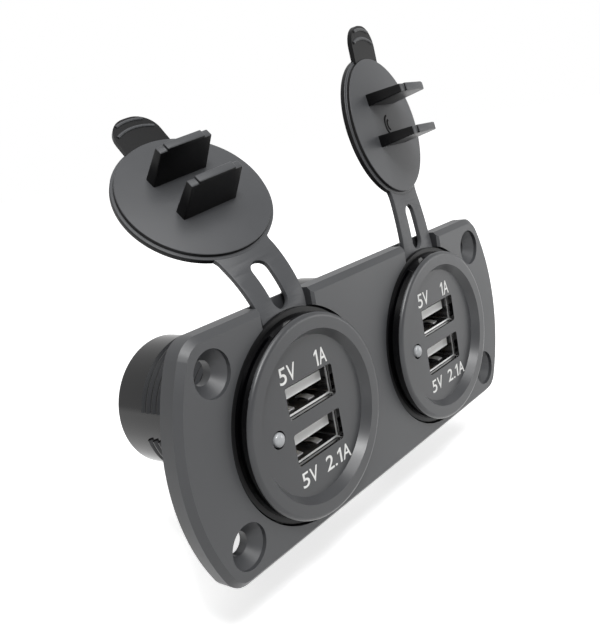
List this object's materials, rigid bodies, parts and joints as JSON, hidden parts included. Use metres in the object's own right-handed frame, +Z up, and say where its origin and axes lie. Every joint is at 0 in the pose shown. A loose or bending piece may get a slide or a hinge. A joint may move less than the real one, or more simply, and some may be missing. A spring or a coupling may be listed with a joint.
{
  "type": "car dual usb socket",
  "caption": "Flush-mounted USB power socket for a vehicle: a flat panel with round charging sockets under hinged rubber covers, and barrels with spade terminals behind.",
  "frame": {"origin": "centre of the panel's back face, in the middle of its four screw holes", "axes": "+X to the right seen from the front, +Y from the front to the back along the sockets' axes, +Z up"},
  "size_m": [0.1066, 0.0492, 0.0884],
  "materials": {
    "panel_plastic": "satin moulded, dark grey",
    "socket_plastic": "semi-gloss black",
    "nut_plastic": "semi-gloss black",
    "cover_rubber": "satin rubber, dark grey",
    "white_plastic": "moulded white",
    "shell_steel": "nickel plated sheet",
    "contact_metal": "gold plated",
    "terminal_metal": "tin plated",
    "lens_plastic": "clear, unlit",
    "board_laminate": "green solder mask",
    "ferrite": "ferrite and copper wire",
    "capacitor_can": "bare can with a dark sleeve",
    "chip_epoxy": "moulded epoxy"
  },
  "bodies": {
    "panel": {"mounting_panel": "panel_plastic", "left_socket_body": "socket_plastic", "left_rear_cap": "socket_plastic", "left_ring_nut": "nut_plastic", "left_circuit_board": "board_laminate", "left_choke": "ferrite", "left_capacitors": "capacitor_can", "left_regulator_chip": "chip_epoxy", "left_upper_usb_shell": "shell_steel", "left_upper_usb_tongue": "white_plastic", "left_upper_usb_contacts": "contact_metal", "left_lower_usb_shell": "shell_steel", "left_lower_usb_tongue": "white_plastic", "left_lower_usb_contacts": "contact_metal", "left_indicator_lens": "lens_plastic", "left_positive_terminal": "terminal_metal", "left_negative_terminal": "terminal_metal", "left_cover_ring": "cover_rubber", "right_socket_body": "socket_plastic", "right_rear_cap": "socket_plastic", "right_ring_nut": "nut_plastic", "right_circuit_board": "board_laminate", "right_choke": "ferrite", "right_capacitors": "capacitor_can", "right_regulator_chip": "chip_epoxy", "right_upper_usb_shell": "shell_steel", "right_upper_usb_tongue": "white_plastic", "right_upper_usb_contacts": "contact_metal", "right_lower_usb_shell": "shell_steel", "right_lower_usb_tongue": "white_plastic", "right_lower_usb_contacts": "contact_metal", "right_indicator_lens": "lens_plastic", "right_positive_terminal": "terminal_metal", "right_negative_terminal": "terminal_metal", "right_cover_ring": "cover_rubber"},
    "left_strap": {"left_strap_link": "cover_rubber"},
    "left_cap": {"left_cap": "cover_rubber"},
    "right_strap": {"right_strap_link": "cover_rubber"},
    "right_cap": {"right_cap": "cover_rubber"}
  },
  "joints": [
    {"name": "left_lower_fold", "type": "hinge", "parent": "panel", "child": "left_strap", "pos_m": [-0.023, -0.0028, 0.0201], "axis": [0.9988, -0.0174, 0.0454], "range_deg": [-3, 112.3]},
    {"name": "left_upper_fold", "type": "hinge", "parent": "left_strap", "child": "left_cap", "pos_m": [-0.02311, -0.00043, 0.02588], "axis": [0.9887, -0.0795, 0.1271], "range_deg": [-3, 112.3]},
    {"name": "right_lower_fold", "type": "hinge", "parent": "panel", "child": "right_strap", "pos_m": [0.023, -0.0028, 0.0201], "axis": [0.9992, 0.0209, -0.0349], "range_deg": [-20, 95.2]},
    {"name": "right_upper_fold", "type": "hinge", "parent": "right_strap", "child": "right_cap", "pos_m": [0.02307, -0.00224, 0.02632], "axis": [0.9946, 0.0914, -0.0482], "range_deg": [-20, 95.2]}
  ],
  "couplings": [
    {"joint": "left_upper_fold", "follows": "left_lower_fold", "ratio": 1},
    {"joint": "right_upper_fold", "follows": "right_lower_fold", "ratio": 1}
  ]
}
